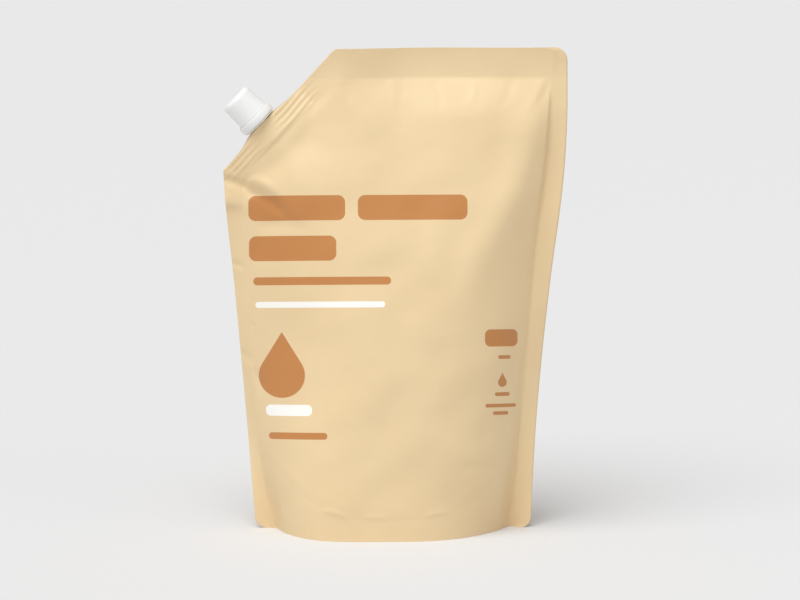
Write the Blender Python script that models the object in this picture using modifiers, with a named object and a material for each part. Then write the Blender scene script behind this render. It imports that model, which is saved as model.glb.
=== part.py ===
# Hand soap refill pack: a stand-up film pouch with a corner spout and a screw cap.
# Metres, +Z up, front panel towards -Y, spout at the upper -X corner, floor at Z = 0.
import math

import bmesh
import bpy
from mathutils import Matrix, Vector

# Pouch outline
FLAT_HALF_WIDTH = 0.0850
BASE_HALF_WIDTH = 0.0674
SHOULDER_HALF_WIDTH = 0.0842
HEIGHT = 0.2400
SHOULDER_HEIGHT = 0.1800
CUT_WIDTH = 0.0550
TOP_CORNER_RADIUS = 0.0065
CUT_CORNER_RADIUS = 0.0020
BASE_CORNER_RADIUS = 0.0050

# Seals
FILM_HALF = 0.0003
SIDE_SEAL = 0.0085
CUT_SEAL = 0.0140
TOP_SEAL = 0.0145

# Fullness of the filled pack
BASE_HALF_DEPTH = 0.0390
BASE_SQUARENESS = 3.2
TOP_SQUARENESS = 2.2
SKIRT_GROOVE = 0.0025

# Spout position on the cut edge
SPOUT_ALONG_CUT = 0.0298
EDGE_BULGE = 0.0024
BULGE_HALF_LENGTH = 0.0195

# Weld base of the spout, and the pocket in the film around it
BOAT_HALF_LENGTH = 0.0230
BOAT_HALF_DEPTH = 0.0055
BOAT_CORE_INSET = 0.0007
BOAT_DEPTH = 0.0168
BOAT_TOP = 0.0044
STEP_HALF_LENGTH = 0.0115
STEP_TOP = 0.0018
BOAT_RIBS = 4
FIT_GAP = 0.0003
COVER_HALF_LENGTH = 0.0280
COVER_HALF_DEPTH = 0.0068
COVER_END = 0.0360

# Spout, ring, liner and cap, as heights along the spout's axis above the film edge
BORE_RADIUS = 0.0037
NECK_RADIUS = 0.0052
BEAD_RADIUS = 0.0058
COLLAR_RADIUS = 0.0093
COLLAR_LOW = 0.0003
COLLAR_HIGH = 0.0010
NOZZLE_TOP = 0.0150
RING_RADIUS = 0.0097
RING_BORE = 0.0062
RING_LOW = 0.0013
RING_HIGH = 0.0050
LINER_RADIUS = 0.0061
LINER_LOW = 0.0153
LINER_HIGH = 0.0161
CAP_LOW = 0.0053
CAP_HIGH = 0.0184
CAP_LOW_RADIUS = 0.0085
CAP_TOP_RADIUS = 0.0082
CAP_BORE = 0.0065
CAP_CEILING = 0.0164
CAP_ROUND = 0.0016

TURN_STEPS = 40


for old in list(bpy.data.objects):
    bpy.data.objects.remove(old, do_unlink=True)

pack = bpy.data.collections.new("hand_soap_refill_pack")
bpy.context.scene.collection.children.link(pack)
cutters = bpy.data.collections.new("cutters")
bpy.context.scene.collection.children.link(cutters)


def material(name, colour, roughness, metallic=0.0):
    made = bpy.data.materials.new(name)
    made.use_nodes = True
    shader = made.node_tree.nodes["Principled BSDF"]
    shader.inputs["Base Color"].default_value = (*colour, 1.0)
    shader.inputs["Roughness"].default_value = roughness
    shader.inputs["Metallic"].default_value = metallic
    return made


def stations(pairs, at):
    # A smooth curve through a few driving stations
    if at <= pairs[0][0]:
        return pairs[0][1]
    if at >= pairs[-1][0]:
        return pairs[-1][1]
    for i in range(len(pairs) - 1):
        if at <= pairs[i + 1][0]:
            break
    slopes = []
    for k in (i, i + 1):
        low = pairs[max(k - 1, 0)]
        high = pairs[min(k + 1, len(pairs) - 1)]
        slopes.append((high[1] - low[1]) / (high[0] - low[0]))
    span = pairs[i + 1][0] - pairs[i][0]
    t = (at - pairs[i][0]) / span
    value = (2 * t**3 - 3 * t**2 + 1) * pairs[i][1]
    value += (t**3 - 2 * t**2 + t) * span * slopes[0]
    value += (3 * t**2 - 2 * t**3) * pairs[i + 1][1]
    value += (t**3 - t**2) * span * slopes[1]
    return value


def fade(low, high, at):
    t = min(max((at - low) / (high - low), 0.0), 1.0)
    return t * t * (3.0 - 2.0 * t)


half_width_stations = (
    (0.000, BASE_HALF_WIDTH),
    (0.060, 0.0719),
    (0.120, 0.0775),
    (SHOULDER_HEIGHT, SHOULDER_HALF_WIDTH),
    (0.206, FLAT_HALF_WIDTH),
    (HEIGHT, FLAT_HALF_WIDTH),
)
seal_line = HEIGHT - TOP_SEAL
half_depth_stations = (
    (0.000, BASE_HALF_DEPTH),
    (0.030, 0.0376),
    (0.060, 0.0354),
    (0.090, 0.0320),
    (0.120, 0.0276),
    (0.150, 0.0210),
    (0.180, 0.0118),
    (0.205, 0.0050),
    (seal_line, 0.0000),
)

cut_height = HEIGHT - SHOULDER_HEIGHT
cut_length = math.hypot(CUT_WIDTH, cut_height)
cut_along = Vector((CUT_WIDTH / cut_length, 0.0, cut_height / cut_length))
cut_out = Vector((-cut_along.z, 0.0, cut_along.x))
cut_foot = Vector((-SHOULDER_HALF_WIDTH, 0.0, SHOULDER_HEIGHT))
spout_foot = cut_foot + cut_along * SPOUT_ALONG_CUT + cut_out * EDGE_BULGE
spout_axis = Vector((-1.0, 0.0, 1.0)).normalized()
spout_side = Vector((1.0, 0.0, 1.0)).normalized()


def bulge(s):
    # How far the film edge stands out over the spout's weld base
    if abs(s) >= BULGE_HALF_LENGTH:
        return 0.0
    return EDGE_BULGE * (1.0 - (s / BULGE_HALF_LENGTH) ** 2) ** 2


def left_edge(z):
    half = stations(half_width_stations, z)
    edge = -half
    if z > SHOULDER_HEIGHT:
        run = (z - SHOULDER_HEIGHT) / cut_height
        s = run * cut_length - SPOUT_ALONG_CUT
        edge = -SHOULDER_HALF_WIDTH + CUT_WIDTH * run - bulge(s) / cut_along.z
    top = HEIGHT - CUT_CORNER_RADIUS
    if z > top:
        edge += CUT_CORNER_RADIUS * 0.3 * ((z - top) / CUT_CORNER_RADIUS) ** 2
    if z < BASE_CORNER_RADIUS:
        edge += corner(BASE_CORNER_RADIUS, BASE_CORNER_RADIUS - z)
    return edge


def right_edge(z):
    edge = stations(half_width_stations, z)
    if z < BASE_CORNER_RADIUS:
        edge -= corner(BASE_CORNER_RADIUS, BASE_CORNER_RADIUS - z)
    if z > HEIGHT - TOP_CORNER_RADIUS:
        edge -= corner(TOP_CORNER_RADIUS, z - HEIGHT + TOP_CORNER_RADIUS)
    return edge


def corner(radius, past):
    return radius - math.sqrt(max(radius * radius - past * past, 0.0))


def left_seal(z):
    # Inner line of the side seal, running over into the inner line of the cut's seal
    side = -stations(half_width_stations, z) + SIDE_SEAL
    across = CUT_SEAL / cut_along.z
    cut = -SHOULDER_HALF_WIDTH + across
    cut += (z - SHOULDER_HEIGHT) * CUT_WIDTH / cut_height
    soft = 0.004
    return 0.5 * (side + cut + math.sqrt((side - cut) ** 2 + soft * soft))


def right_seal(z):
    return stations(half_width_stations, z) - SIDE_SEAL


def fullness(u, z):
    depth = stations(half_depth_stations, z)
    power = BASE_SQUARENESS
    power += (TOP_SQUARENESS - BASE_SQUARENESS) * fade(0.0, 0.09, z)
    return depth * max(1.0 - abs(u) ** power, 0.0)


def cover(x, z):
    # The film's swelling over the weld base
    off = Vector((x, 0.0, z)) - spout_foot
    s = off.dot(spout_side)
    w = off.dot(spout_axis)
    if abs(s) >= COVER_HALF_LENGTH:
        return 0.0
    swell = COVER_HALF_DEPTH * (1.0 - (s / COVER_HALF_LENGTH) ** 2)
    return swell * fade(-COVER_END, -BOAT_DEPTH - 0.0025, w)


def half_thickness(u, x, z):
    body = fullness(u, z) if abs(u) < 1.0 else 0.0
    return FILM_HALF + (body**4 + cover(x, z) ** 4) ** 0.25


heights = [0.0, 0.0007, 0.0022, BASE_CORNER_RADIUS, 0.012, 0.020, 0.030, 0.042]
heights += [0.054, 0.066, 0.078, 0.090, 0.102, 0.114, 0.126, 0.138, 0.149, 0.159]
heights += [0.167, 0.1745, SHOULDER_HEIGHT]
heights += [SHOULDER_HEIGHT + 0.0040 * k for k in range(1, 11)]
heights += [0.2228, seal_line, 0.2295, HEIGHT - TOP_CORNER_RADIUS, 0.2365]
heights += [0.2385, 0.2394, HEIGHT]

LEFT_COLUMNS = 4
BODY_COLUMNS = 24
RIGHT_COLUMNS = 2
WIDEST_TURN = math.radians(70.0)


def ring(z):
    # One level of the pouch: (x, half thickness) from the left edge to the right edge
    outer_left = left_edge(z)
    inner_left = left_seal(z)
    outer_right = right_edge(z)
    inner_right = right_seal(z)
    if z > HEIGHT - TOP_CORNER_RADIUS:
        inner_right = min(inner_right, outer_right - 0.5 * SIDE_SEAL)
    places = []
    for k in range(LEFT_COLUMNS):
        t = k / LEFT_COLUMNS
        places.append((-1.0, outer_left + (inner_left - outer_left) * t))
    for k in range(BODY_COLUMNS + 1):
        turn = WIDEST_TURN * (2.0 * k / BODY_COLUMNS - 1.0)
        u = math.sin(turn) / math.sin(WIDEST_TURN)
        x = 0.5 * (inner_left + inner_right) + 0.5 * u * (inner_right - inner_left)
        places.append((u, x))
    for k in range(1, RIGHT_COLUMNS + 1):
        t = k / RIGHT_COLUMNS
        places.append((1.0, inner_right + (outer_right - inner_right) * t))
    return [(x, half_thickness(u, x, z), u) for u, x in places]


def underside(u, v):
    # A skirt to stand on, a shallow groove inside it, and a flat middle
    if abs(v) > 0.93 or abs(v) < 0.6:
        return 0.0
    groove = SKIRT_GROOVE * fade(0.6, 0.85, abs(v))
    return groove * fade(1.0, 0.8, abs(u))


def build_pouch(surface):
    mesh = bmesh.new()
    levels = [ring(z) for z in heights]
    columns = len(levels[0])
    front = []
    back = []
    for z, level in zip(heights, levels):
        front.append([mesh.verts.new((x, -y, z)) for x, y, u in level])
        back.append([mesh.verts.new((x, y, z)) for x, y, u in level])
    for j in range(len(heights) - 1):
        for i in range(columns - 1):
            mesh.faces.new((front[j][i], front[j][i + 1], front[j + 1][i + 1], front[j + 1][i]))
            mesh.faces.new((back[j][i + 1], back[j][i], back[j + 1][i], back[j + 1][i + 1]))
        mesh.faces.new((back[j][0], front[j][0], front[j + 1][0], back[j + 1][0]))
        mesh.faces.new((front[j][-1], back[j][-1], back[j + 1][-1], front[j + 1][-1]))
    for i in range(columns - 1):
        mesh.faces.new((front[-1][i], front[-1][i + 1], back[-1][i + 1], back[-1][i]))
    rows = (-1.0, -0.95, -0.88, -0.75, -0.6, -0.3, 0.3, 0.6, 0.75, 0.88, 0.95, 1.0)
    floor = [front[0]]
    for v in rows[1:-1]:
        row = [None]
        for x, y, u in levels[0][1:-1]:
            row.append(mesh.verts.new((x, v * y, underside(u, v))))
        floor.append(row)
    floor.append(back[0])
    for j in range(len(floor) - 1):
        for i in range(1, columns - 2):
            mesh.faces.new((floor[j][i], floor[j + 1][i], floor[j + 1][i + 1], floor[j][i + 1]))
    mesh.faces.new([front[0][0], back[0][0]] + [row[1] for row in reversed(floor)])
    mesh.faces.new([back[0][-1], front[0][-1]] + [row[columns - 2] for row in floor])
    bmesh.ops.recalc_face_normals(mesh, faces=mesh.faces)
    data = bpy.data.meshes.new("pouch")
    mesh.to_mesh(data)
    mesh.free()
    made = bpy.data.objects.new("pouch", data)
    data.materials.append(surface)
    pack.objects.link(made)
    return made


def along_axis():
    # Turns a piece drawn about +Z so that it stands on the film edge along the spout's axis
    turn = Matrix((spout_side, Vector((0.0, 1.0, 0.0)), spout_axis)).transposed()
    if turn.determinant() < 0.0:
        turn = Matrix((spout_side, Vector((0.0, -1.0, 0.0)), spout_axis)).transposed()
    return Matrix.Translation(spout_foot) @ turn.to_4x4()


def turned(name, profile, surface, home):
    # A profile of (radius, height) pairs turned round the spout's axis
    data = bpy.data.meshes.new(name)
    count = len(profile)
    edges = [(i, i + 1) for i in range(count - 1)]
    if profile[0][0] > 0.0:
        edges.append((count - 1, 0))
    data.from_pydata([(r, 0.0, h) for r, h in profile], edges, [])
    made = bpy.data.objects.new(name, data)
    home.objects.link(made)
    screw = made.modifiers.new("turn", "SCREW")
    screw.axis = "Z"
    screw.steps = TURN_STEPS
    screw.render_steps = TURN_STEPS
    screw.use_merge_vertices = True
    screw.merge_threshold = 0.00001
    made.matrix_world = along_axis()
    if surface:
        data.materials.append(surface)
    return made


def lens(half_length, half_depth, count=14):
    # Pointed oval outline, anticlockwise from the +X end, with blunt tips
    tip = 0.0004
    points = []
    for k in range(count + 1):
        s = half_length * math.cos(math.pi * k / count)
        points.append((s, tip + (half_depth - tip) * (1.0 - (s / half_length) ** 2)))
    for k in range(count, -1, -1):
        s = half_length * math.cos(math.pi * k / count)
        points.append((s, -tip - (half_depth - tip) * (1.0 - (s / half_length) ** 2)))
    return points


def stack(name, sections, home):
    # A closed body through pointed ovals of (height, half length, half depth)
    mesh = bmesh.new()
    levels = []
    for height, half_length, half_depth in sections:
        outline = lens(half_length, half_depth)
        levels.append([mesh.verts.new((x, y, height)) for x, y in outline])
    count = len(levels[0])
    for low, high in zip(levels, levels[1:]):
        for i in range(count):
            k = (i + 1) % count
            mesh.faces.new((low[i], low[k], high[k], high[i]))
    mesh.faces.new(levels[0])
    mesh.faces.new(levels[-1])
    bmesh.ops.recalc_face_normals(mesh, faces=mesh.faces)
    data = bpy.data.meshes.new(name)
    mesh.to_mesh(data)
    mesh.free()
    made = bpy.data.objects.new(name, data)
    home.objects.link(made)
    made.matrix_world = along_axis()
    return made


def combine(target, tool, operation):
    change = target.modifiers.new(operation.lower(), "BOOLEAN")
    change.operation = operation
    change.solver = "EXACT"
    change.object = tool
    tool.hide_render = True
    tool.display_type = "WIRE"


def smooth(made):
    for face in made.data.polygons:
        face.use_smooth = True


film = material("laminate_film", (0.80, 0.62, 0.38), 0.45)
spout_plastic = material("spout_plastic", (0.86, 0.86, 0.85), 0.35)
ring_plastic = material("ring_plastic", (0.84, 0.84, 0.83), 0.35)
liner_foam = material("liner_foam", (0.90, 0.90, 0.88), 0.70)
cap_plastic = material("cap_plastic", (0.88, 0.88, 0.87), 0.30)

# Film pouch, filled and sealed, with the pocket that holds the weld base
pouch = build_pouch(film)
pocket = stack(
    "pocket_cutter",
    (
        (-BOAT_DEPTH - FIT_GAP, BOAT_HALF_LENGTH + FIT_GAP, BOAT_HALF_DEPTH + FIT_GAP),
        (-BOAT_TOP + FIT_GAP, BOAT_HALF_LENGTH + FIT_GAP, BOAT_HALF_DEPTH + FIT_GAP),
        (-BOAT_TOP + FIT_GAP, STEP_HALF_LENGTH + FIT_GAP, BOAT_HALF_DEPTH + FIT_GAP),
        (0.0080, STEP_HALF_LENGTH + FIT_GAP, BOAT_HALF_DEPTH + FIT_GAP),
    ),
    cutters,
)
combine(pouch, pocket, "DIFFERENCE")
smooth(pouch)

# Spout: a ribbed weld base under a collar, a neck with a retaining bead, and the nozzle
sections = []
pitch = (BOAT_DEPTH - BOAT_TOP) / (BOAT_RIBS - 0.5)
core = (BOAT_HALF_LENGTH - 3.0 * BOAT_CORE_INSET, BOAT_HALF_DEPTH - BOAT_CORE_INSET)
for k in range(BOAT_RIBS):
    low = -BOAT_DEPTH + k * pitch
    sections.append((low, BOAT_HALF_LENGTH, BOAT_HALF_DEPTH))
    sections.append((low + 0.5 * pitch, BOAT_HALF_LENGTH, BOAT_HALF_DEPTH))
    if k < BOAT_RIBS - 1:
        sections.append((low + 0.5 * pitch, *core))
        sections.append((low + pitch, *core))
sections.append((-BOAT_TOP, STEP_HALF_LENGTH, BOAT_HALF_DEPTH))
sections.append((-STEP_TOP, STEP_HALF_LENGTH, BOAT_HALF_DEPTH))
spout = stack("spout", sections, pack)
spout.data.materials.append(spout_plastic)
neck = turned(
    "neck_body",
    (
        (0.0, NOZZLE_TOP),
        (NECK_RADIUS - 0.0005, NOZZLE_TOP),
        (NECK_RADIUS, NOZZLE_TOP - 0.0005),
        (NECK_RADIUS, RING_HIGH - 0.0004),
        (BEAD_RADIUS, RING_HIGH - 0.0009),
        (BEAD_RADIUS, RING_HIGH - 0.0014),
        (NECK_RADIUS, RING_HIGH - 0.0018),
        (NECK_RADIUS, COLLAR_HIGH),
        (COLLAR_RADIUS - 0.0002, COLLAR_HIGH),
        (COLLAR_RADIUS, COLLAR_HIGH - 0.0002),
        (COLLAR_RADIUS, COLLAR_LOW + 0.0002),
        (COLLAR_RADIUS - 0.0002, COLLAR_LOW),
        (NECK_RADIUS, COLLAR_LOW),
        (NECK_RADIUS, -0.0100),
        (0.0, -0.0100),
    ),
    None,
    cutters,
)
bore = turned(
    "bore_cutter",
    (
        (0.0, NOZZLE_TOP + 0.0020),
        (BORE_RADIUS, NOZZLE_TOP + 0.0020),
        (BORE_RADIUS, -BOAT_DEPTH - 0.0020),
        (0.0, -BOAT_DEPTH - 0.0020),
    ),
    None,
    cutters,
)
combine(spout, neck, "UNION")
combine(spout, bore, "DIFFERENCE")

# Tamper ring that stays on the neck under the cap
tamper_ring = turned(
    "tamper_ring",
    (
        (RING_RADIUS - 0.0003, RING_HIGH),
        (RING_RADIUS, RING_HIGH - 0.0003),
        (RING_RADIUS, RING_LOW + 0.0003),
        (RING_RADIUS - 0.0003, RING_LOW),
        (RING_BORE, RING_LOW),
        (RING_BORE, RING_HIGH),
    ),
    ring_plastic,
    pack,
)

# Sealing liner under the cap's ceiling
cap_liner = turned(
    "cap_liner",
    (
        (0.0, LINER_HIGH),
        (LINER_RADIUS, LINER_HIGH),
        (LINER_RADIUS, LINER_LOW),
        (0.0, LINER_LOW),
    ),
    liner_foam,
    pack,
)

# Screw cap: a slightly tapered cup with a rounded end
cap_profile = [(0.0, CAP_HIGH)]
for k in range(6):
    turn = math.radians(90.0 - 18.0 * k)
    radius = CAP_TOP_RADIUS - CAP_ROUND + CAP_ROUND * math.cos(turn)
    cap_profile.append((radius, CAP_HIGH - CAP_ROUND + CAP_ROUND * math.sin(turn)))
cap_profile += [
    (CAP_LOW_RADIUS, CAP_LOW + 0.0004),
    (CAP_LOW_RADIUS - 0.0004, CAP_LOW),
    (CAP_BORE, CAP_LOW),
    (CAP_BORE, CAP_CEILING),
    (0.0, CAP_CEILING),
]
cap = turned("cap", cap_profile, cap_plastic, pack)
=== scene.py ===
import math

import bmesh
import bpy
import numpy as np
from mathutils import Matrix, Vector


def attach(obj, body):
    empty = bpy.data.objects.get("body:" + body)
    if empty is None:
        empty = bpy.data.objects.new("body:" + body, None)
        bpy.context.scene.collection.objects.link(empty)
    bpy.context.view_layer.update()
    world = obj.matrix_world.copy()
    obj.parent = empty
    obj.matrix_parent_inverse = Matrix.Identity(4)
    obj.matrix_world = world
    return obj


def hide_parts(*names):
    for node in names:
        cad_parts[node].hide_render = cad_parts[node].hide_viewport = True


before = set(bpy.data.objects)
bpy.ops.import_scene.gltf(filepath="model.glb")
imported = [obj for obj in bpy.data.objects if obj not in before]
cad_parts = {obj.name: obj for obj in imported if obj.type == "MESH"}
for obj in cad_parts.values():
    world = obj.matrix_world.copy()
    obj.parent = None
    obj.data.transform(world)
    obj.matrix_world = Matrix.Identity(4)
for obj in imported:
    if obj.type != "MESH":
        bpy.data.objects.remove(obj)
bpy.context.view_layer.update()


# colours are written as sRGB hex and turned to linear here
def hexColor(text):
    parts = [int(text[i:i + 2], 16) / 255 for i in (1, 3, 5)]
    return [p / 12.92 if p <= 0.04045 else ((p + 0.055) / 1.055) ** 2.4 for p in parts] + [1.0]


# adds one node, sets it up and links it
def put(tree, kind, inputs=None, **settings):
    node = tree.nodes.new(kind)
    for name, value in settings.items():
        setattr(node, name, value)
    for key, value in (inputs or {}).items():
        if isinstance(value, bpy.types.NodeSocket):
            tree.links.new(value, node.inputs[key])
        else:
            node.inputs[key].default_value = value
    return node


def newMaterial(name):
    material = bpy.data.materials.new(name)
    material.use_nodes = True
    tree = material.node_tree
    tree.nodes.clear()
    place = put(tree, "ShaderNodeTexCoord").outputs["Object"]
    return material, tree, place


def finishMaterial(tree, inputs):
    shader = put(tree, "ShaderNodeBsdfPrincipled", inputs)
    put(tree, "ShaderNodeOutputMaterial", {"Surface": shader.outputs[0]})


def meshObject(name, points, faces, material, smooth=True):
    mesh = bpy.data.meshes.new(name)
    mesh.from_pydata([tuple(p) for p in points], [], [tuple(f) for f in faces])
    mesh.materials.append(material)
    mesh.polygons.foreach_set("use_smooth", [smooth] * len(mesh.polygons))
    piece = bpy.data.objects.new(name, mesh)
    bpy.context.scene.collection.objects.link(piece)
    return piece


def fade(low, high, at):
    t = np.clip((at - low) / (high - low), 0.0, 1.0)
    return t * t * (3.0 - 2.0 * t)


# a smooth curve through a few (position, value) stations
def through(stations, at):
    x = np.array([s[0] for s in stations], float)
    y = np.array([s[1] for s in stations], float)
    slope = np.gradient(y, x)
    i = np.clip(np.searchsorted(x, at, side="right") - 1, 0, len(x) - 2)
    span = x[i + 1] - x[i]
    t = np.clip((at - x[i]) / span, 0.0, 1.0)
    value = (2 * t**3 - 3 * t**2 + 1) * y[i] + (t**3 - 2 * t**2 + t) * span * slope[i]
    return value + (3 * t**2 - 2 * t**3) * y[i + 1] + (t**3 - t**2) * span * slope[i + 1]


# the pouch, in metres: every list of stations holds (height, value) pairs
pouch = {
    "height": 0.240,
    "widthStations": ((0.0, 0.0674), (0.06, 0.0719), (0.12, 0.0775), (0.18, 0.0842),
                      (0.206, 0.085), (0.24, 0.085)),
    "depthStations": ((0.0, 0.0390), (0.03, 0.0380), (0.06, 0.0362), (0.09, 0.0334),
                      (0.12, 0.0293), (0.15, 0.0230), (0.18, 0.0149), (0.205, 0.0070),
                      (0.2255, 0.0)),
    "shoulderHeight": 0.180,
    "cutWidth": 0.055,
    "topSeal": 0.0145,
    "cutSeal": 0.0105,
    "sideSeal": 0.0085,
    # the sealed edges stand this much wider than the half widths
    "leftExtra": ((0.0, 0.0014), (0.06, 0.0017), (0.12, 0.0013), (0.165, 0.0004), (0.18, 0.0), (0.24, 0.0)),
    "rightExtra": ((0.0, 0.0010), (0.03, 0.0003), (0.12, 0.0), (0.17, 0.0003), (0.20, 0.0010),
                   (0.24, 0.0014)),
    # and show this much of themselves from the front
    "leftSealShown": ((0.0, 0.0088), (0.015, 0.0068), (0.04, 0.0050), (0.07, 0.0045), (0.11, 0.0062),
                      (0.17, 0.0085), (0.24, 0.0085)),
    "rightSealShown": ((0.0, 0.0100), (0.02, 0.0086), (0.05, 0.0080), (0.11, 0.0085), (0.15, 0.0094),
                       (0.19, 0.0086), (0.24, 0.0070)),
    "topCorner": 0.0065,
    "cornerSeal": 0.004,  # seal left beside the rounded top corner
    "cutCorner": 0.002,
    "leftFootCorner": 0.0055,
    "rightFootCorner": 0.0046,
    "innerBlend": 0.003,  # rounds the seals' inner line at the shoulder
    "filmHalf": 0.00022,  # half of two sheets sealed together
    "waviness": 0.0045,  # height of the soft waves for each metre of their length
    "edgeBulge": 0.0024,  # the spout pushes the slanted edge out
    "bulgeHalfLength": 0.0195,
    "spoutAlongCut": 0.0298,
    "boatHalfLength": 0.0262,
    "boatHalfDepth": 0.0056,
    "ribPitch": 0.0027,
    "ribHeight": 0.00026,
    "cutLean": 0.0030,
    "rows": 246,
    "columns": (20, 134, 8),  # left seal, panel, right seal
}
# the weld that ties the bottom gusset to the panel runs in a low arc, and the underside is tucked up
gusset = {
    "arcLow": 0.0105,
    "arcRise": 0.024,
    "arcReach": 0.062,
    "groove": -0.00009,
    "swell": 0.00014,
    "tuck": 0.0045,
    "pleat": 0.0008,
}
spoutAxis = Vector((-1.0, 0.0, 1.0)).normalized()
spoutSide = Vector((1.0, 0.0, 1.0)).normalized()
shoulder = Vector((-0.0842, 0.0, pouch["shoulderHeight"]))
cutHeight = pouch["height"] - pouch["shoulderHeight"]
cutLength = math.hypot(pouch["cutWidth"], cutHeight)
cutAlong = Vector((pouch["cutWidth"] / cutLength, 0.0, cutHeight / cutLength))
cutOut = Vector((-cutAlong.z, 0.0, cutAlong.x))
spoutFoot = shoulder + cutAlong * pouch["spoutAlongCut"] + cutOut * pouch["edgeBulge"]
sealLine = pouch["height"] - pouch["topSeal"]

# folds pressed into the front panel: from and to as (x, z), half width, how far it stands out, all mm
frontFolds = (
    ((-60, 197.5), (-70.5, 181), 2.0, -0.9),
    ((-72, 170), (-52, 158), 3.0, -1.5),
    ((-72, 177), (-58, 170), 2.2, 0.9),
    ((-66, 152), (-45, 154), 3.4, -0.8),
    ((-57, 195), (-43, 166), 6.0, 1.0),
    ((-49, 200), (-30, 186), 5.0, -0.5),
    ((74, 212), (38, 134), 12.0, 4.8),
    ((80, 200), (69, 70), 6.5, -2.6),
    ((72, 120), (64, 60), 5.0, -1.0),
    ((77.5, 224), (71, 213), 2.2, -0.4),
    ((74, 224), (66, 210), 2.2, 0.3),
    ((-2, 224), (0, 212), 1.6, 0.3),
    ((3, 224), (5, 216), 1.4, -0.24),
    ((20, 224), (23, 210), 2.0, -0.3),
    ((40, 224), (38, 213), 1.8, 0.3),
    ((-25, 224), (-22, 214), 1.8, -0.24),
    ((58, 224), (54, 212), 2.2, -0.3),
    ((-73, 102), (-69, 103), 1.1, -0.5),
    ((-71, 82), (-66, 70), 1.8, -0.8),
    ((-36, 15.5), (-24, 12), 1.3, 0.5),
    ((-16, 12), (-6, 11.5), 1.3, 0.35),
    ((15, 12.5), (27, 13.5), 1.4, 0.35),
    ((33, 36), (50, 30), 3.5, -0.6),
    ((52, 60), (60, 30), 4.0, -0.6),
)
# folds that run through both sheets at the rim
rimFolds = (
    ((-86, 176), (-68, 168.5), 2.3, -1.7),
    ((-85, 166), (-70, 161), 4.0, 0.8),
    ((-81, 133), (-74, 131), 1.5, -0.5),
    ((-77, 88), (-70, 84), 2.2, -0.6),
)
# the back is plainer
backFolds = (
    ((-80, 172), (-58, 150), 3.2, -1.2),
    ((76, 212), (46, 150), 8.0, 1.8),
    ((-40, 225), (-36, 208), 2.0, 0.5),
    ((-10, 225), (-13, 205), 2.2, -0.5),
    ((25, 225), (24, 209), 1.8, 0.5),
    ((55, 225), (60, 210), 2.0, -0.5),
    ((70, 120), (60, 70), 5.0, -0.9),
    ((-70, 110), (-62, 60), 5.0, -0.8),
    ((-30, 15), (10, 12), 1.5, 0.5),
)


# how far a round corner draws in, this far past its start
def rounding(radius, past):
    past = np.clip(past, 0.0, radius)
    return radius - np.sqrt(radius * radius - past * past)


# heights of the grid's rows, close together at the foot and the top edge
def pouchLevels():
    low = np.array([0.0, 0.1, 0.3, 0.7, 1.3, 2.1, 3.1, 4.2]) * 0.001
    high = pouch["height"] - np.array([5.3, 4.1, 3.0, 2.0, 1.2, 0.6, 0.2, 0.0]) * 0.001
    middle = np.linspace(0.0053, pouch["height"] - pouch["topCorner"], pouch["rows"])
    middle[np.argmin(abs(middle - pouch["shoulderHeight"]))] = pouch["shoulderHeight"]
    middle[np.argmin(abs(middle - sealLine))] = sealLine
    return np.concatenate([low, middle, high])


# outer and inner edges of the left and right seals at each height
def sideLines(z):
    half = through(pouch["widthStations"], z)
    pastTop = z - pouch["height"]
    run = (z - pouch["shoulderHeight"]) / cutHeight
    s = run * cutLength - pouch["spoutAlongCut"]
    bulge = pouch["edgeBulge"] * np.clip(1 - (s / pouch["bulgeHalfLength"]) ** 2, 0, 1) ** 2
    cut = shoulder.x + pouch["cutWidth"] * run - bulge / cutAlong.z
    leftHalf = half + through(pouch["leftExtra"], z)
    outerLeft = np.where(run > 0, cut, -leftHalf)
    outerLeft += rounding(pouch["leftFootCorner"], pouch["leftFootCorner"] - z)
    outerLeft += 0.6 * rounding(pouch["cutCorner"], pastTop + pouch["cutCorner"])
    rightHalf = half + through(pouch["rightExtra"], z)
    outerRight = rightHalf - rounding(pouch["rightFootCorner"], pouch["rightFootCorner"] - z)
    outerRight -= rounding(pouch["topCorner"], pastTop + pouch["topCorner"])
    side = -leftHalf + through(pouch["leftSealShown"], z)
    cutInner = shoulder.x + pouch["cutSeal"] / cutAlong.z + pouch["cutWidth"] * run
    innerLeft = 0.5 * (side + cutInner + np.sqrt((side - cutInner) ** 2 + pouch["innerBlend"] ** 2))
    innerRight = rightHalf - through(pouch["rightSealShown"], z)
    beside = np.minimum(innerRight, outerRight - pouch["cornerSeal"])
    innerRight = np.where(z > pouch["height"] - pouch["topCorner"], beside, innerRight)
    return outerLeft, innerLeft, innerRight, outerRight


# soft unevenness of a liquid-filled film, a sum of slow waves
def waviness(x, z, seed):
    rng = np.random.default_rng(seed)
    total = np.zeros_like(x)
    for length in (0.085, 0.060, 0.047, 0.036, 0.027, 0.021):
        turn, start = rng.uniform(0, 2 * math.pi, 2)
        along = x * math.cos(turn) + z * math.sin(turn)
        across = z * math.cos(turn) - x * math.sin(turn)
        wander = 1.3 * np.sin(across / length * 3)
        total += length * pouch["waviness"] * np.sin(2 * math.pi * along / length + start + wander)
    return total


# each fold is a soft bell across a slightly bent line that dies out at both ends
def foldRelief(x, z, folds):
    total = np.zeros_like(x)
    for start, end, width, out in folds:
        a, b = np.array(start) * 0.001, np.array(end) * 0.001
        length = np.linalg.norm(b - a)
        d = (b - a) / length
        along = ((x - a[0]) * d[0] + (z - a[1]) * d[1]) / length
        off = (x - a[0]) * -d[1] + (z - a[1]) * d[0]
        bend = 0.06 * length * np.sin(np.pi * np.clip(along, 0, 1))
        ends = fade(-0.18, 0.22, along) * fade(1.25, 0.6, along)
        total += out * 0.001 * ends * np.exp(-((off - bend) / (width * 0.001)) ** 2)
    return total


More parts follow.
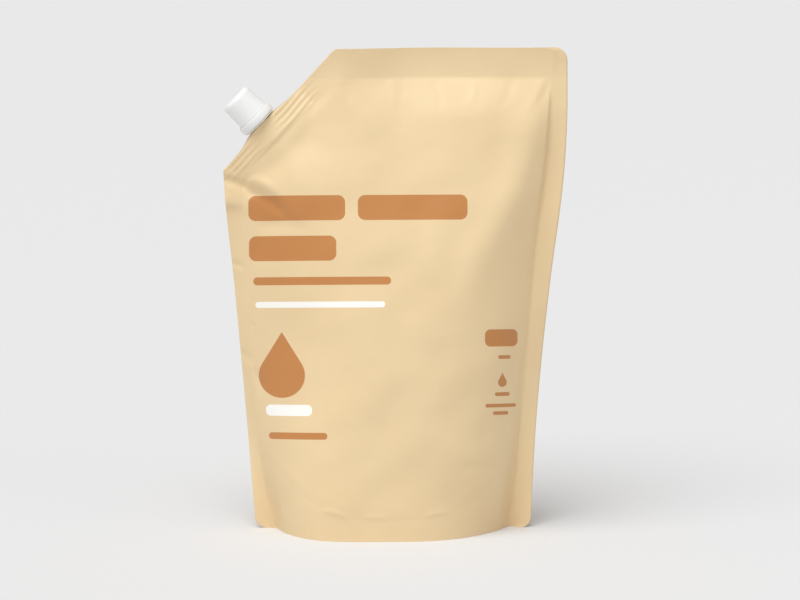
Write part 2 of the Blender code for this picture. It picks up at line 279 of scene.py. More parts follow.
def gussetWeld(x, z):
    arc = gusset["arcLow"] + gusset["arcRise"] * np.abs(x / gusset["arcReach"]) ** 2.6
    line = np.exp(-((z - arc) / 0.0011) ** 2) * gusset["groove"]
    line += np.exp(-((z - arc - 0.005) / 0.0035) ** 2) * gusset["swell"]
    return line


# the film is drawn tight over the spout's ribbed weld base
def spoutPull(x, z):
    offX, offZ = x - spoutFoot.x, z - spoutFoot.z
    s = offX * spoutSide.x + offZ * spoutSide.z
    w = offX * spoutAxis.x + offZ * spoutAxis.z
    lens = np.clip(1.01 - ((s / pouch["boatHalfLength"]) ** 2 + 0.002) ** 0.72, 0, 1)
    onBase = fade(-0.0125, -0.0095, w)
    boat = pouch["boatHalfDepth"] * lens * (0.77 * fade(-0.050, -0.012, w) + 0.23 * onBase)
    ribs = np.cos(2 * math.pi * (w + 0.001 + 0.0005 * np.sin(s / 0.006)) / pouch["ribPitch"])
    ribs *= fade(0.036, 0.026, np.abs(s)) * fade(0.002, 0.012, np.abs(s))
    ribs *= onBase * fade(-0.0006, -0.0020, w)
    return boat, pouch["ribHeight"] * ribs


# how far one panel stands out from the plane of the seals; u runs from -1 to 1 between them
def panelDepth(u, x, z, folds, seed):
    inside = np.clip(1 - np.abs(u), 0, 1)
    body = (np.abs(u) < 1.0) & (z < sealLine)
    left = 2.1 + 2.5 * fade(0.085, 0.0, z)
    right = 3.3 - 0.9 * fade(0.15, 0.215, z) - 0.6 * fade(0.05, 0.0, z)
    power = left + (right - left) * fade(-0.3, 0.3, u)
    depth = through(pouch["depthStations"], z) * (1 - np.abs(u) ** power)
    # the swell starts softly from the seals at the foot and at the upper right
    soft = 0.8 * fade(0.05, 0.0, z) + 0.5 * fade(0.185, 0.215, z) * (u > 0)
    depth = np.where(body, depth * (1 - soft * (1 - fade(-0.015, 0.11, inside))), 0.0)
    near = fade(0.0, 0.10, inside) * fade(sealLine, sealLine - 0.02, z) * fade(0.0, 0.02, z)
    relief = foldRelief(x, z, folds) * fade(0.0, 0.03, inside)
    relief *= fade(sealLine, sealLine - 0.003, z)
    relief += gussetWeld(x, z) * fade(0.0, 0.12, inside)
    depth += np.where(body, relief + waviness(x, z, seed) * near, 0.0)
    boat, ribs = spoutPull(x, z)
    depth = (np.maximum(depth, 0.0) ** 3 + boat**3) ** (1 / 3) + ribs
    return pouch["filmHalf"] + np.maximum(depth, 0.0)


# the sealed rims lean and wave a little
def rimLean(x, z, lines):
    outerLeft, innerLeft, innerRight, outerRight = lines
    # the left seal turns back where little of it shows
    t = np.clip((innerLeft - x) / np.maximum(innerLeft - outerLeft, 1e-6), 0, 1)
    shown = innerLeft - outerLeft
    back = np.sqrt(np.maximum(pouch["sideSeal"] ** 2 - shown**2, 0.0)) * (z < 0.17)
    lean = t * back * fade(0.0, 0.06, z)
    # the right one sways, and comes forward at its foot
    t = np.clip((x - innerRight) / np.maximum(outerRight - innerRight, 1e-6), 0, 1)
    sway = 0.0016 * np.sin(z / 0.034 + 0.6) * fade(0.0, 0.02, z)
    lean += t * (sway + 0.0030 * fade(0.17, 0.06, z) - 0.0060 * fade(0.10, 0.0, z))
    lean -= foldRelief(x, z, rimFolds) * fade(0.0, 0.02, z)
    # behind the slanted edge the seal tips back, so the whole web leans forward inside it
    deep = (x - shoulder.x) * cutOut.x + (z - shoulder.z) * cutOut.z
    along = (x - shoulder.x) * cutAlong.x + (z - shoulder.z) * cutAlong.z
    slanted = fade(-0.004, 0.012, along) * fade(cutLength + 0.004, cutLength - 0.016, along)
    lean -= pouch["cutLean"] * slanted * fade(0.001, -0.016, deep) * fade(-0.060, -0.018, deep)
    top = fade(sealLine - 0.020, pouch["height"], z)
    sway = 0.0016 * np.sin(x / 0.026 + 1.1) + 0.0008 * np.sin(x / 0.011)
    return lean + top * (sway + 0.0050 * fade(-0.05, 0.05, x))


# the tucked-up gusset: two grooves and a centre pleat, u across and v from front to back
def pouchUnderside(u, v):
    groove = gusset["tuck"] * fade(0.45, 0.85, abs(v)) * fade(0.96, 0.90, abs(v))
    pleat = gusset["pleat"] * np.exp(-(v / 0.03) ** 2)
    return (groove + pleat * (abs(u) < 0.7)) * fade(1.0, 0.75, abs(u))


# the columns of both sheets: left seal, panel, right seal, and u for each of them
def pouchColumns(lines):
    outerLeft, innerLeft, innerRight, outerRight = [line[:, None] for line in lines]
    leftCount, panelCount, rightCount = pouch["columns"]
    turn = math.radians(74)
    u = np.sin(np.linspace(-turn, turn, panelCount + 1)) / math.sin(turn)
    t = np.linspace(0, 1, leftCount + 1)[:-1]
    leftX = outerLeft + (innerLeft - outerLeft) * t
    panelX = 0.5 * (innerLeft + innerRight) + 0.5 * u * (innerRight - innerLeft)
    t = np.linspace(0, 1, rightCount + 1)[1:]
    rightX = innerRight + (outerRight - innerRight) * t
    across = np.concatenate([np.full(leftCount, -1.0), u, np.full(rightCount, 1.0)])
    return np.hstack([leftX, panelX, rightX]), across


# front and back sheets, joined along both sides and the top
def sheetFaces(front, back):
    faces = []
    for grid, flip in ((front, False), (back, True)):
        corners = [grid[:-1, :-1], grid[:-1, 1:], grid[1:, 1:], grid[1:, :-1]]
        corners = corners[::-1] if flip else corners
        faces += np.stack(corners, -1).reshape(-1, 4).tolist()
    for j in range(len(front) - 1):
        faces.append((back[j, 0], front[j, 0], front[j + 1, 0], back[j + 1, 0]))
        faces.append((front[j, -1], back[j, -1], back[j + 1, -1], front[j + 1, -1]))
    for i in range(front.shape[1] - 1):
        faces.append((front[-1, i], front[-1, i + 1], back[-1, i + 1], back[-1, i]))
    return faces


# the underside joins the lowest rows of the two sheets, given as points and as their numbers
def undersideMesh(frontRow, backRow, frontFoot, backFoot, u, count):
    columns = len(u)
    v = np.concatenate([np.linspace(-1, -0.9, 5), np.linspace(-0.88, 0.88, 31), np.linspace(0.9, 1, 5)])
    points, faces, floor = [], [], [frontFoot]
    for place in v[1:-1]:
        level = frontRow + (backRow - frontRow) * (place + 1) / 2
        level[:, 2] = pouchUnderside(u, np.full(columns, place))
        points.append(level[1:-1])
        row = np.zeros(columns, int)
        row[1:-1] = count + np.arange(columns - 2)
        count += columns - 2
        floor.append(row)
    floor.append(backFoot)
    for low, high in zip(floor, floor[1:]):
        for i in range(1, columns - 2):
            faces.append((low[i], high[i], high[i + 1], low[i + 1]))
    faces.append([frontFoot[0], backFoot[0]] + [row[1] for row in reversed(floor)])
    faces.append([backFoot[-1], frontFoot[-1]] + [row[-2] for row in floor])
    return points, faces


def buildPouch(material):
    z = pouchLevels()
    lines = sideLines(z)
    x, across = pouchColumns(lines)
    u = np.broadcast_to(across, x.shape)
    z = np.broadcast_to(z[:, None], x.shape)
    lean = rimLean(x, z, [line[:, None] for line in lines])
    front = np.stack([x, lean - panelDepth(u, x, z, frontFolds, 4), z], -1)
    back = np.stack([x, lean + panelDepth(u, x, z, backFolds, 9), z], -1)
    frontIndex = np.arange(x.size).reshape(x.shape)
    backIndex = frontIndex + x.size
    faces = sheetFaces(frontIndex, backIndex)
    below, floorFaces = undersideMesh(front[0], back[0], frontIndex[0], backIndex[0], across, 2 * x.size)
    points = np.concatenate([front.reshape(-1, 3), back.reshape(-1, 3)] + below)
    return meshObject("filmPouch", points, faces + floorFaces, material)


# printed and bare laminate film: a soft satin skin with the faintest orange peel
film = {
    "base": "#ECD3A7",
    "baseDeep": "#E5C99D",
    "copper": "#C4854B",
    "white": "#FBF8F2",
    "roughness": 0.46,
    "peelMm": 0.55,
    "crimpMm": 0.95,  # a real knurl is finer, and would not show
    "printRise": 0.15,
}

# bars of print: centre across, centre up, width, height, corner, all mm
copperBars = (
    (-48.2, 160.8, 47.5, 12.5, 3.6),
    (8.8, 160.8, 54.0, 12.5, 3.6),
    (-50.3, 140.7, 42.8, 12.5, 3.6),
    (-35.9, 124.4, 67.5, 4.0, 1.9),
    (-48.0, 47.0, 28.5, 3.4, 1.6),
    (52.8, 95.5, 17.0, 8.6, 2.8),
    (54.4, 85.9, 6.5, 1.8, 0.8),
    (53.4, 67.3, 7.8, 1.9, 0.9),
    (52.6, 61.6, 16.0, 1.8, 0.8),
    (52.6, 57.8, 8.0, 1.8, 0.8),
)
whiteBars = (
    (-36.9, 112.6, 63.5, 3.0, 1.4),
    (-52.4, 59.8, 22.5, 5.6, 2.4),
)
# drops of print: centre across, centre up of the round part, radius, tip above it, all mm
copperDrops = (
    (-55.8, 77.3, 11.3, 21.7),
    (53.4, 73.2, 2.3, 4.8),
)


# print is laid out on the flat web, so its lines run level across the filled pack's front
def printPlace(tree, place):
    parts = put(tree, "ShaderNodeSeparateXYZ", {0: place})
    swell = put(tree, "ShaderNodeMath", {0: parts.outputs["Y"], 1: film["printRise"]}, operation="MULTIPLY")
    up = put(tree, "ShaderNodeMath", {0: parts.outputs["Z"], 1: swell.outputs[0]}, operation="ADD")
    return put(tree, "ShaderNodeCombineXYZ", {"X": parts.outputs["X"], "Z": up.outputs[0]}).outputs[0]


# a bar with round corners
def barMask(tree, place, bar):
    cx, cz, width, height, corner = [value * 0.001 for value in bar]
    off = put(tree, "ShaderNodeVectorMath", {0: place, 1: (cx, 0.0, cz)}, operation="SUBTRACT")
    size = put(tree, "ShaderNodeVectorMath", {0: off.outputs[0]}, operation="ABSOLUTE")
    core = (width / 2 - corner, 0.0, height / 2 - corner)
    over = put(tree, "ShaderNodeVectorMath", {0: size.outputs[0], 1: core}, operation="SUBTRACT")
    out = put(tree, "ShaderNodeVectorMath", {0: over.outputs[0], 1: (0.0, 0.0, 0.0)}, operation="MAXIMUM")
    reach = put(tree, "ShaderNodeVectorMath", {0: out.outputs[0]}, operation="LENGTH")
    return put(tree, "ShaderNodeMath", {0: reach.outputs["Value"], 1: corner}, operation="LESS_THAN").outputs[0]


# a round foot under a point, like a falling drop
def dropMask(tree, place, drop):
    cx, cz, radius, tall = [value * 0.001 for value in drop]
    lean = math.asin(radius / tall)
    off = put(tree, "ShaderNodeVectorMath", {0: place, 1: (cx, 0.0, cz)}, operation="SUBTRACT")
    parts = put(tree, "ShaderNodeSeparateXYZ", {0: off.outputs[0]})
    across = put(tree, "ShaderNodeMath", {0: parts.outputs["X"]}, operation="ABSOLUTE").outputs[0]
    waist = put(tree, "ShaderNodeMapRange", {"Value": parts.outputs["Z"], "From Min": 0.0, "From Max": tall,
                                             "To Min": tall * math.tan(lean), "To Max": 0.0}).outputs[0]
    cone = put(tree, "ShaderNodeMath", {0: across, 1: waist}, operation="LESS_THAN").outputs[0]
    above = put(tree, "ShaderNodeMath", {0: parts.outputs["Z"], 1: radius * math.sin(lean)},
                operation="GREATER_THAN").outputs[0]
    cone = put(tree, "ShaderNodeMath", {0: cone, 1: above}, operation="MULTIPLY").outputs[0]
    reach = put(tree, "ShaderNodeVectorMath", {0: off.outputs[0]}, operation="LENGTH")
    disc = put(tree, "ShaderNodeMath", {0: reach.outputs["Value"], 1: radius}, operation="LESS_THAN").outputs[0]
    return put(tree, "ShaderNodeMath", {0: cone, 1: disc}, operation="MAXIMUM").outputs[0]


def anyOf(tree, masks):
    total = masks[0]
    for mask in masks[1:]:
        total = put(tree, "ShaderNodeMath", {0: total, 1: mask}, operation="MAXIMUM").outputs[0]
    return total


def laminateFilm():
    material, tree, place = newMaterial("satinLaminateFilm")
    parts = put(tree, "ShaderNodeSeparateXYZ", {0: place})
    x, y, z = parts.outputs
    isFront = put(tree, "ShaderNodeMath", {0: y, 1: 0.0}, operation="LESS_THAN").outputs[0]
    web = printPlace(tree, place)
    copper = [barMask(tree, web, bar) for bar in copperBars] + [dropMask(tree, web, drop) for drop in copperDrops]
    copper = anyOf(tree, copper)
    copper = put(tree, "ShaderNodeMath", {0: copper, 1: isFront}, operation="MULTIPLY").outputs[0]
    white = anyOf(tree, [barMask(tree, web, bar) for bar in whiteBars])
    white = put(tree, "ShaderNodeMath", {0: white, 1: isFront}, operation="MULTIPLY").outputs[0]
    # ink lies a little unevenly, in clouds a few centimetres across
    cloud = put(tree, "ShaderNodeTexNoise", {"Vector": place, "Scale": 28.0, "Detail": 3.0, "Roughness": 0.5})
    tint = put(tree, "ShaderNodeMix", {"Factor": cloud.outputs["Fac"], "A": hexColor(film["base"]),
                                       "B": hexColor(film["baseDeep"])}, data_type="RGBA")
    inked = put(tree, "ShaderNodeMix", {"Factor": copper, "A": tint.outputs["Result"],
                                        "B": hexColor(film["copper"])}, data_type="RGBA")
    inked = put(tree, "ShaderNodeMix", {"Factor": white, "A": inked.outputs["Result"],
                                        "B": hexColor(film["white"])}, data_type="RGBA")
    # the crimped top seal carries a fine diamond knurl, as a bump and as painted shade and highlight in its
    # colour
    pitch = 2 * math.pi / (film["crimpMm"] * 0.001)
    waves = []
    for sign in (1.0, -1.0):
        slant = put(tree, "ShaderNodeMath", {0: z, 1: sign}, operation="MULTIPLY").outputs[0]
        slant = put(tree, "ShaderNodeMath", {0: x, 1: slant}, operation="ADD").outputs[0]
        slant = put(tree, "ShaderNodeMath", {0: slant, 1: pitch}, operation="MULTIPLY").outputs[0]
        waves.append(put(tree, "ShaderNodeMath", {0: slant}, operation="SINE").outputs[0])
    knurl = put(tree, "ShaderNodeMath", {0: waves[0], 1: waves[1]}, operation="MULTIPLY").outputs[0]
    inSeal = put(tree, "ShaderNodeMapRange", {"Value": z, "From Min": sealLine,
                                              "From Max": sealLine + 0.0004}).outputs[0]
    sealKnurl = put(tree, "ShaderNodeMath", {0: knurl, 1: inSeal}, operation="MULTIPLY").outputs[0]
    # painted shade and highlight: the colour is darker in the knurl's pits and lighter on its tops, and the whole
    # seal is painted a shade darker
    paintedKnurlShading = put(tree, "ShaderNodeMapRange", {"Value": sealKnurl, "From Min": -1.0, "From Max": 1.0,
                                               "To Min": 0.95, "To Max": 1.03}).outputs[0]
    shade = put(tree, "ShaderNodeMapRange", {"Value": inSeal, "To Min": 1.0, "To Max": 0.995}).outputs[0]
    shade = put(tree, "ShaderNodeMath", {0: shade, 1: paintedKnurlShading}, operation="MULTIPLY").outputs[0]
    colour = put(tree, "ShaderNodeVectorMath", {0: inked.outputs["Result"], "Scale": shade},
                 operation="SCALE").outputs[0]
    # a fine peel all over, and slow unevenness about a centimetre across
    peel = put(tree, "ShaderNodeTexNoise", {"Vector": place, "Scale": 1000.0 / film["peelMm"], "Detail": 2.0})
    slow = put(tree, "ShaderNodeTexNoise", {"Vector": place, "Scale": 95.0, "Detail": 2.0, "Roughness": 0.45})
    peelBump = put(tree, "ShaderNodeBump", {"Height": peel.outputs["Fac"], "Strength": 0.10, "Distance": 0.0001})
    slowBump = put(tree, "ShaderNodeBump", {"Height": slow.outputs["Fac"], "Strength": 0.35, "Distance": 0.0008,
                                            "Normal": peelBump.outputs[0]})
    crimp = put(tree, "ShaderNodeBump", {"Height": sealKnurl, "Strength": 0.4, "Distance": 0.00015,
                                         "Normal": slowBump.outputs[0]})
    rough = put(tree, "ShaderNodeMapRange", {"Value": slow.outputs["Fac"], "To Min": film["roughness"] - 0.05,
                                             "To Max": film["roughness"] + 0.05}).outputs[0]
    finishMaterial(tree, {"Base Color": colour, "Roughness": rough, "IOR": 1.5, "Normal": crimp.outputs[0],
                          "Specular IOR Level": 0.42})
    return material


filmPouch = buildPouch(laminateFilm())
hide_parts("pouch")
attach(filmPouch, "pack")
print("pouch done:", len(filmPouch.data.polygons), "faces")


# heights along the spout's axis are counted from the film's edge
spout = {
    "neckRadius": 0.0052,
    "boreRadius": 0.0037,
    "collarRadius": 0.0093,
    "beadRadius": 0.0058,
    "nozzleTop": 0.0150,
    "plateHalf": 0.0114,  # the weld base's top plate, just inside the film's edge
    "plateDeep": 0.0036,
    "threadLead": 0.004,
    "threadCrest": 0.0061,
    "threadStart": 0.0070,
    "threadTurns": 1.35,
    "segments": 96,
}
cap = {
    "low": 0.00506,
    "high": 0.0184,
    "lowRadius": 0.0087,
    "topRadius": 0.0082,
    "bore": 0.0065,
    "ceiling": 0.0164,
    "round": 0.0024,
    "threadCrest": 0.0055,
}
ring = {
    "outer": 0.0097,
    "bore": 0.0062,
    "low": 0.00106,
    "high": 0.00502,
    "bridges": 12,
    "bridgeCircle": 0.0078,
    "bridgeWidth": 0.0006,
    "bridgeHeight": 0.0003,
}
liner = {
    "low": 0.0153,
    "high": 0.0161,
    "radius": 0.0061,
    "groove": (0.0037, 0.0051),  # a shallow ring pressed by the nozzle's lip
}


# from the spout's own axes to the pack's
def alongSpout(points):
    return [spoutFoot + spoutSide * p[0] + Vector((0.0, p[1], 0.0)) + spoutAxis * p[2] for p in points]


# turns a closed (radius, height) outline round the spout's axis, outside first from top to bottom
def turnedBody(outline, segments):
    points, faces, rings = [], [], []
    for radius, height in outline:
        if radius < 1e-7:
            rings.append([len(points)] * segments)
            points.append((0.0, 0.0, height))
            continue
        rings.append([len(points) + k for k in range(segments)])
        for k in range(segments):
            angle = 2 * math.pi * k / segments
            points.append((radius * math.cos(angle), radius * math.sin(angle), height))
    closed = outline[0][0] > 1e-7
    pairs = list(zip(rings, rings[1:])) + ([(rings[-1], rings[0])] if closed else [])
    for a, b in pairs:
        for k in range(segments):
            n = (k + 1) % segments
            face = []
            for corner in (a[k], b[k], b[n], a[n]):
                if corner not in face:
                    face.append(corner)
            if len(face) > 2:
                faces.append(face)
    return points, faces


# a screw thread's ridge, outward from the neck or inward from the cap's bore
def threadRidge(root, crest, start, turns, phase, halfRoot, halfCrest):
    points, faces = [], []
    steps = int(60 * turns)
    for k in range(steps + 1):
        t = k / steps
        grow = float(fade(0.0, 0.12, t) * fade(1.0, 0.88, t))
        angle = phase + 2 * math.pi * turns * t
        height = start + spout["threadLead"] * turns * t
        tip = root + (crest - root) * (0.15 + 0.85 * grow)
        for radius, rise in ((root, -halfRoot), (tip, -halfCrest), (tip, halfCrest), (root, halfRoot)):
            points.append((radius * math.cos(angle), radius * math.sin(angle), height + rise))
    for k in range(steps):
        for c in range(4):
            d = (c + 1) % 4
            faces.append((4 * k + c, 4 * k + d, 4 * k + 4 + d, 4 * k + 4 + c))
    faces.append((3, 2, 1, 0))
    faces.append((4 * steps, 4 * steps + 1, 4 * steps + 2, 4 * steps + 3))
    return points, faces


# several closed bodies in one list of points and faces
def joined(bodies):
    points, faces = [], []
    for some, sides in bodies:
        faces += [[i + len(points) for i in side] for side in sides]
        points += list(some)
    return points, faces


def faceOutward(piece):
    work = bmesh.new()
    work.from_mesh(piece.data)
    bmesh.ops.recalc_face_normals(work, faces=work.faces)
    work.to_mesh(piece.data)
    work.free()
    piece.data.set_sharp_from_angle(angle=math.radians(40))


# moulded polypropylene: clean white, a soft gloss, and a trace of light passing in
def mouldedPlastic(name, tone, roughness, glow):
    material, tree, place = newMaterial(name)
    cloud = put(tree, "ShaderNodeTexNoise", {"Vector": place, "Scale": 160.0, "Detail": 2.0})
    tint = put(tree, "ShaderNodeMix", {"Factor": cloud.outputs["Fac"], "A": hexColor(tone[0]),
                                       "B": hexColor(tone[1])}, data_type="RGBA")
    # the grain of a spark-eroded mould, 0.4 mm across
    grain = put(tree, "ShaderNodeTexNoise", {"Vector": place, "Scale": 2600.0, "Detail": 2.0})
    bump = put(tree, "ShaderNodeBump", {"Height": grain.outputs["Fac"], "Strength": 0.12, "Distance": 0.00008})
    rough = put(tree, "ShaderNodeMapRange", {"Value": cloud.outputs["Fac"], "To Min": roughness - 0.04,
                                             "To Max": roughness + 0.04}).outputs[0]
    finishMaterial(tree, {"Base Color": tint.outputs["Result"], "Roughness": rough, "IOR": 1.49,
                          "Normal": bump.outputs[0], "Subsurface Weight": glow,
                          "Subsurface Radius": (0.6, 0.55, 0.5), "Subsurface Scale": 0.002})
    return material


capPlastic = mouldedPlastic("mouldedCapPolypropylene", ("#F1F1F0", "#ECECEA"), 0.36, 0.12)
ringPlastic = mouldedPlastic("mouldedRingPolypropylene", ("#EEEEEC", "#E8E8E6"), 0.38, 0.12)
spoutPlastic = mouldedPlastic("mouldedSpoutPolyethylene", ("#ECECE8", "#E4E4DF"), 0.42, 0.2)


# pointed like a boat in plan
def weldPlate():
    count, half = 24, spout["plateHalf"]
    outline = []
    for k in range(count + 1):
        s = half * math.cos(math.pi * k / count)
        outline.append((s, 0.0003 + spout["plateDeep"] * (1 - (s / half) ** 2)))
    outline += [(s, -d) for s, d in reversed(outline)]
    n = len(outline)
    points = [(s, d, height) for height in (-0.0044, -0.0019) for s, d in outline]
    sides = [(i, (i + 1) % n, n + (i + 1) % n, n + i) for i in range(n)]
    return points, sides + [list(range(n)), list(range(n, 2 * n))]


def buildSpout():
    top, neck, bore, collar, bead = (spout[k] for k in ("nozzleTop", "neckRadius", "boreRadius", "collarRadius",
                                                        "beadRadius"))
    tube = turnedBody((
        (bore + 0.0004, top), (neck - 0.0006, top), (neck - 0.0001, top - 0.0003), (neck, top - 0.0008),
        (neck, 0.0048), (bead, 0.0043), (bead, 0.0036), (neck, 0.0032),
        (neck + 0.0004, 0.0012), (collar - 0.0004, 0.0010), (collar - 0.0001, 0.0009), (collar, 0.0007),
        (collar, 0.0005), (collar - 0.0001, 0.0004), (collar - 0.0004, 0.0003), (neck + 0.0006, 0.0003),
        (neck, -0.0002), (neck, -0.0022), (bore, -0.0022), (bore, top - 0.0005)), spout["segments"])
    thread = threadRidge(neck - 0.0003, spout["threadCrest"], spout["threadStart"], spout["threadTurns"],
                         0.4, 0.0008, 0.0003)
    points, faces = joined([tube, thread, weldPlate()])
    return meshObject("weldedSpout", alongSpout(points), faces, spoutPlastic)


weldedSpout = buildSpout()
faceOutward(weldedSpout)
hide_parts("spout")
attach(weldedSpout, "pack")


def buildRing():
    outer, bore, low, high = (ring[k] for k in ("outer", "bore", "low", "high"))
    body = turnedBody((
        (bore + 0.0003, high), (outer - 0.0003, high), (outer - 0.0001, high - 0.0001), (outer, high - 0.0003),
        (outer + 0.0001, low + 0.0003), (outer, low + 0.0001), (outer - 0.0003, low),
        (bore + 0.0003, low), (bore, low + 0.0003), (bore, high - 0.0003)), spout["segments"])
    return meshObject("tamperRing", alongSpout(body[0]), body[1], ringPlastic)


tamperRing = buildRing()
faceOutward(tamperRing)
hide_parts("tamper_ring")
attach(tamperRing, "pack")
print("spout and ring done")


# the thin bridges that tie the ring to the cap, set round a circle by nodes
def bridgeTree():
    tree = bpy.data.node_groups.new("breakBridges", "GeometryNodeTree")
    for name, kind, value in (("Count", "NodeSocketInt", ring["bridges"]),
                              ("Radius", "NodeSocketFloat", ring["bridgeCircle"]),
                              ("Bridge Width", "NodeSocketFloat", ring["bridgeWidth"]),
                              ("Bridge Height", "NodeSocketFloat", ring["bridgeHeight"])):
        item = tree.interface.new_socket(name=name, in_out="INPUT", socket_type=kind)
        item.default_value = value
    tree.interface.new_socket(name="Geometry", in_out="OUTPUT", socket_type="NodeSocketGeometry")
    given = put(tree, "NodeGroupInput").outputs
    circle = put(tree, "GeometryNodeMeshCircle", {"Vertices": given["Count"], "Radius": given["Radius"]})
    size = put(tree, "ShaderNodeCombineXYZ", {"X": given["Bridge Width"], "Y": given["Bridge Width"],
                                              "Z": given["Bridge Height"]})
    block = put(tree, "GeometryNodeMeshCube", {"Size": size.outputs[0]})
    place = put(tree, "GeometryNodeInputPosition")
    aim = put(tree, "FunctionNodeAlignEulerToVector", {"Vector": place.outputs[0]}, axis="X")
    copies = put(tree, "GeometryNodeInstanceOnPoints", {"Points": circle.outputs["Mesh"],
                                                        "Instance": block.outputs["Mesh"],
                                                        "Rotation": aim.outputs[0]})
    solid = put(tree, "GeometryNodeRealizeInstances", {"Geometry": copies.outputs[0]})
    dressed = put(tree, "GeometryNodeSetMaterial", {"Geometry": solid.outputs[0], "Material": ringPlastic})
    put(tree, "NodeGroupOutput", {"Geometry": dressed.outputs[0]})
    return tree


def buildBridges():
    holder = meshObject("bridgeHolder", [], [], ringPlastic)
    change = holder.modifiers.new("bridges", "NODES")
    change.node_group = bridgeTree()
    for item in change.node_group.interface.items_tree:
        if item.in_out == "INPUT":
            change[item.identifier] = item.default_value
    made = bpy.data.meshes.new_from_object(holder.evaluated_get(bpy.context.evaluated_depsgraph_get()))
    bpy.data.objects.remove(holder, do_unlink=True)
    home = Matrix((spoutSide, Vector((0, 1, 0)), spoutAxis)).transposed().to_4x4()
    made.transform(Matrix.Translation(spoutFoot + spoutAxis * cap["low"]) @ home)
    piece = bpy.data.objects.new("breakBridges", made)
    bpy.context.scene.collection.objects.link(piece)
    return piece


breakBridges = buildBridges()
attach(breakBridges, "pack")


# pressed polyethylene foam: dull, a fine closed-cell grain
def linerFoam():
    material, tree, place = newMaterial("pressedLinerFoam")
    cells = put(tree, "ShaderNodeTexVoronoi", {"Vector": place, "Scale": 3300.0})  # cells 0.3 mm across
    tone = put(tree, "ShaderNodeMix", {"Factor": cells.outputs["Distance"], "A": hexColor("#F2F2EF"),
                                       "B": hexColor("#E3E3DE")}, data_type="RGBA")
    bump = put(tree, "ShaderNodeBump", {"Height": cells.outputs["Distance"], "Strength": 0.3, "Distance": 0.0001})
    finishMaterial(tree, {"Base Color": tone.outputs["Result"], "Roughness": 0.8, "Normal": bump.outputs[0]})
    return material


def buildLiner():
    low, high, wide, (inner, outer) = (liner[k] for k in ("low", "high", "radius", "groove"))
    disc = turnedBody(((0.0, high), (wide - 0.0003, high), (wide, high - 0.0002), (wide, low + 0.0002),
                       (wide - 0.0003, low), (outer + 0.0001, low), (outer - 0.0001, low + 0.0001),
                       (inner + 0.0001, low + 0.0001), (inner - 0.0001, low), (0.0, low)), 64)
    return meshObject("sealingLiner", alongSpout(disc[0]), disc[1], linerFoam())


capLiner = buildLiner()
faceOutward(capLiner)
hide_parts("cap_liner")
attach(capLiner, "liner")


def buildCap():
    low, high, wide, slim = (cap[k] for k in ("low", "high", "lowRadius", "topRadius"))
    bore, ceiling, bend = (cap[k] for k in ("bore", "ceiling", "round"))
    outline = [(0.0, high - 0.00015), (0.0030, high - 0.00012), (0.0045, high)]
    for k in range(9):
        angle = math.radians(90 - 11.25 * k)
        outline.append((slim - bend + bend * math.cos(angle), high - bend + bend * math.sin(angle)))
    outline += [(slim + 0.0001, high - 0.0060), (slim + 0.0003, low + 0.0020), (wide, low + 0.0002),
                (wide - 0.0002, low), (bore + 0.0004, low), (bore, low + 0.0004), (bore, ceiling - 0.0004),
                (bore - 0.0004, ceiling), (0.0040, ceiling), (0.0, ceiling)]
    body = turnedBody(outline, spout["segments"])
    ridge = threadRidge(bore + 0.0002, cap["threadCrest"], spout["threadStart"] + 0.0022, 1.2,
                        0.4, 0.0007, 0.00025)
    points, faces = joined([body, ridge])
    return meshObject("screwCap", alongSpout(points), faces, capPlastic)


screwCap = buildCap()
faceOutward(screwCap)
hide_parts("cap")
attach(screwCap, "cap")
print("cap and liner done")


# the room round the pack, and the camera's place as turn, rise and distance
studio = {
    "floor": "#DFDFDF",
    "floorDeep": "#DDDDDE",
    "floorReach": 6.0,
    "world": 0.47,
    "target": (0.0032, 0.0, 0.1147),
    "azimuth": -2.0,
    "elevation": 8.5,
    "distance": 2.6,
    "viewWidth": 0.3976,
}


# seamless studio paper: flat, dull and almost white
def studioPaper():
    material, tree, place = newMaterial("matteStudioPaper")
    fibre = put(tree, "ShaderNodeTexNoise", {"Vector": place, "Scale": 400.0, "Detail": 2.0})
    tone = put(tree, "ShaderNodeMix", {"Factor": fibre.outputs["Fac"], "A": hexColor(studio["floor"]),
                                       "B": hexColor(studio["floorDeep"])}, data_type="RGBA")
    finishMaterial(tree, {"Base Color": tone.outputs["Result"], "Roughness": 0.95, "Specular IOR Level": 0.1})
    return material


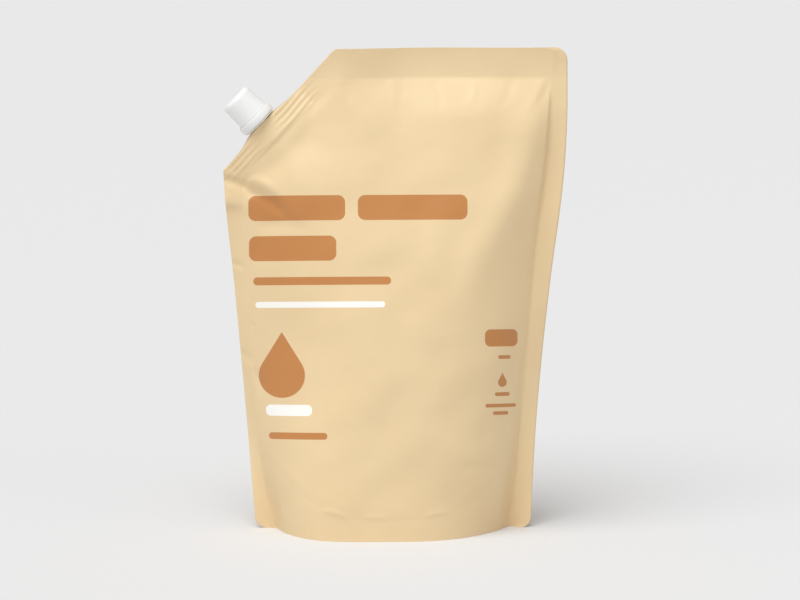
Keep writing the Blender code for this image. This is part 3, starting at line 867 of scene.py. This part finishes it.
reach = studio["floorReach"]
floorCorners = [(-reach, -reach, 0), (reach, -reach, 0), (reach, reach, 0), (-reach, reach, 0)]
studioFloor = meshObject("studioFloor", floorCorners, [(0, 1, 2, 3)], studioPaper(), smooth=False)

world = bpy.data.worlds.new("paleStudio")
world.use_nodes = True
sky = world.node_tree.nodes["Background"].inputs
sky["Color"].default_value = (1.0, 1.0, 1.0, 1.0)
sky["Strength"].default_value = studio["world"]
bpy.context.scene.world = world


def softLight(name, place, aim, size, power):
    light = bpy.data.lights.new(name, "AREA")
    light.shape = "RECTANGLE"
    light.size, light.size_y = size
    light.energy = power
    lamp = bpy.data.objects.new(name, light)
    lamp.location = place
    lamp.rotation_euler = (Vector(aim) - Vector(place)).to_track_quat("-Z", "Y").to_euler()
    bpy.context.scene.collection.objects.link(lamp)


def sunLight(name, azimuth, elevation, width, strength):
    turn, up = math.radians(azimuth), math.radians(elevation)
    toward = Vector((math.sin(turn) * math.cos(up), -math.cos(turn) * math.cos(up), math.sin(up)))
    light = bpy.data.lights.new(name, "SUN")
    light.energy = strength
    light.angle = math.radians(width)
    lamp = bpy.data.objects.new(name, light)
    lamp.location = toward * 2.0
    lamp.rotation_euler = toward.to_track_quat("Z", "Y").to_euler()
    bpy.context.scene.collection.objects.link(lamp)


# one broad bank high at the left front, and a weak one at the right
sunLight("keyBank", -32.0, 61.0, 50.0, 2.35)
softLight("rimPanel", (1.2, -1.0, 0.9), (0, 0, 0.12), (0.5, 1.2), 1.2)

angle = math.radians(studio["azimuth"])
rise = math.radians(studio["elevation"])
back = Vector((math.sin(angle) * math.cos(rise), -math.cos(angle) * math.cos(rise), math.sin(rise)))
target = Vector(studio["target"])
camera = bpy.data.objects.new("camera", bpy.data.cameras.new("camera"))
camera.location = target + back * studio["distance"]
camera.rotation_euler = (-back).to_track_quat("-Z", "Y").to_euler()
camera.data.sensor_width = 36.0
camera.data.lens = 36.0 * studio["distance"] / studio["viewWidth"]
bpy.context.scene.collection.objects.link(camera)
bpy.context.scene.camera = camera
bpy.context.scene.view_settings.view_transform = "Standard"
print("studio done")
